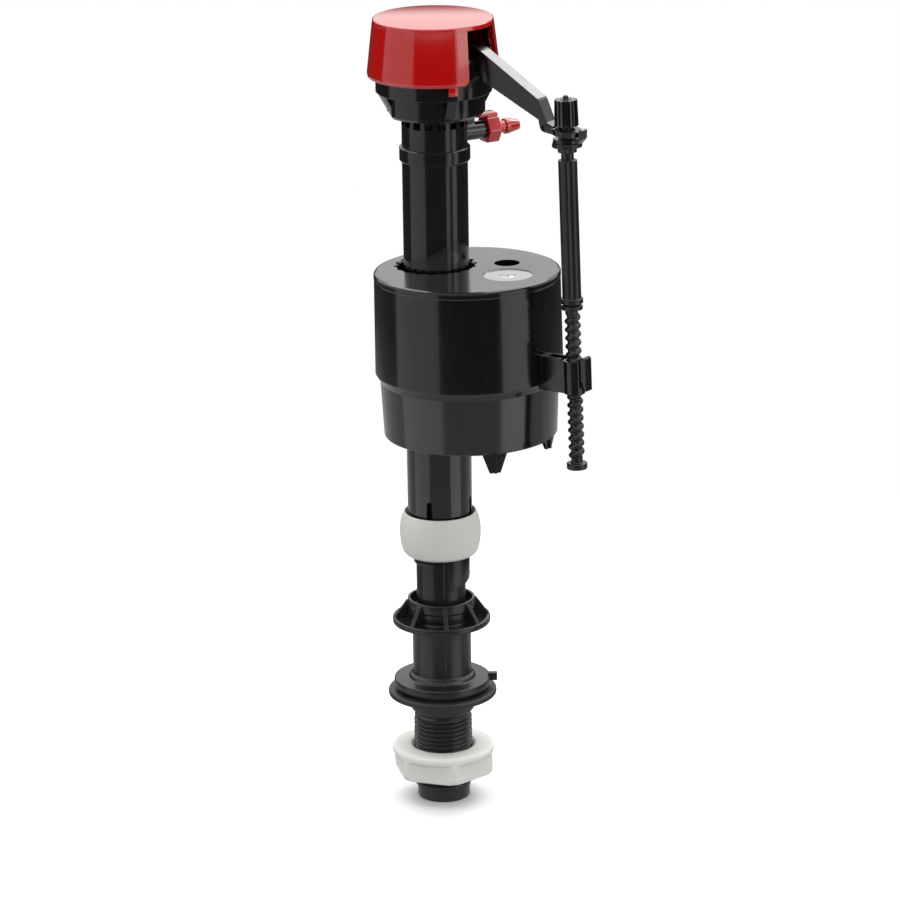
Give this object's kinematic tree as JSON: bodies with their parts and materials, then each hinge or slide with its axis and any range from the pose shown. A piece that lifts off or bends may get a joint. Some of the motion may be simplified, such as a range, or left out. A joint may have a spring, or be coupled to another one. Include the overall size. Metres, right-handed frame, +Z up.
{
  "type": "toilet fill valve",
  "caption": "Adjustable float-cup toilet fill valve: capped diaphragm head with lever, riser tube, float with adjusting rod, lock collar, and threaded shank with washer and nut.",
  "frame": {"origin": "centre of the threaded tail's lower end, on the shank's axis", "axes": "+Z up along the shank and riser, +X from the riser's axis towards the adjusting rod"},
  "size_m": [0.0925, 0.0698, 0.3037],
  "materials": {
    "black_gloss": "gloss",
    "black_satin": "satin",
    "red_plastic": "satin gloss",
    "white_nylon": "satin",
    "natural_nylon": "translucent satin",
    "rubber": "matte",
    "brass": "plain"
  },
  "bodies": {
    "shank": {"shank": "black_satin", "seal_washer": "rubber", "inlet_strainer": "white_nylon"},
    "lock_nut": {"lock_nut": "natural_nylon"},
    "riser": {"riser_tube": "black_satin", "valve_body": "black_gloss", "bonnet": "black_gloss", "inlet_tube": "black_satin", "inlet_tube_seal": "rubber", "head_seal": "rubber", "valve_seat": "white_nylon", "metering_pin": "brass", "diaphragm": "rubber"},
    "diaphragm_core": {"diaphragm_core": "white_nylon"},
    "collar": {"lock_collar": "white_nylon"},
    "cap": {"cap_cover": "red_plastic"},
    "nozzle": {"refill_nozzle": "red_plastic", "refill_seal": "rubber"},
    "lever": {"lever": "black_gloss", "pilot_seal": "rubber"},
    "clip": {"rod_clip": "black_gloss"},
    "adjuster": {"adjusting_rod": "black_satin", "adjuster_knob": "black_satin"},
    "float": {"float_cup": "black_gloss"}
  },
  "joints": [
    {"name": "locknut_travel", "type": "slide", "parent": "shank", "child": "lock_nut", "axis": [0, 0, 1], "range_m": [-0.01, 0.0135]},
    {"name": "height_adjust", "type": "slide", "parent": "shank", "child": "riser", "axis": [0, 0, 1], "range_m": [-0.0015, 0.045]},
    {"name": "collar_release", "type": "slide", "parent": "riser", "child": "collar", "axis": [0, 0, 1], "range_m": [0, 0.011]},
    {"name": "cap_lift", "type": "slide", "parent": "riser", "child": "cap", "axis": [0, 0, 1], "range_m": [0, 0.05]},
    {"name": "nozzle_pull", "type": "slide", "parent": "riser", "child": "nozzle", "axis": [0.4226, 0.9063, 0], "range_m": [0, 0.02]},
    {"name": "diaphragm_lift", "type": "slide", "parent": "riser", "child": "diaphragm_core", "axis": [0, 0, 1], "range_m": [0, 0.002], "deforming": ["diaphragm"]},
    {"name": "lever_tilt", "type": "hinge", "parent": "riser", "child": "lever", "pos_m": [0.01, 0, 0.2953], "axis": [0, -1, 0], "range_deg": [0, 12.4]},
    {"name": "rod_swing", "type": "hinge", "parent": "lever", "child": "clip", "pos_m": [0.05879, 0, 0.26836], "axis": [0, 1, 0], "range_deg": [0, 15.4]},
    {"name": "adjuster_turn", "type": "hinge", "parent": "clip", "child": "adjuster", "pos_m": [0.05879, 0, 0.26836], "axis": [-0.0305, 0, 0.9995], "range_deg": [-1890, 2690]},
    {"name": "float_adjust", "type": "slide", "parent": "clip", "child": "float", "axis": [-0.0305, 0, 0.9995], "range_m": [-0.0238, 0.0168]}
  ],
  "couplings": [
    {"joint": "rod_swing", "follows": "lever_tilt", "ratio": 1.233},
    {"joint": "float_adjust", "follows": "adjuster_turn", "m_per_rad": -0.00050532}
  ]
}
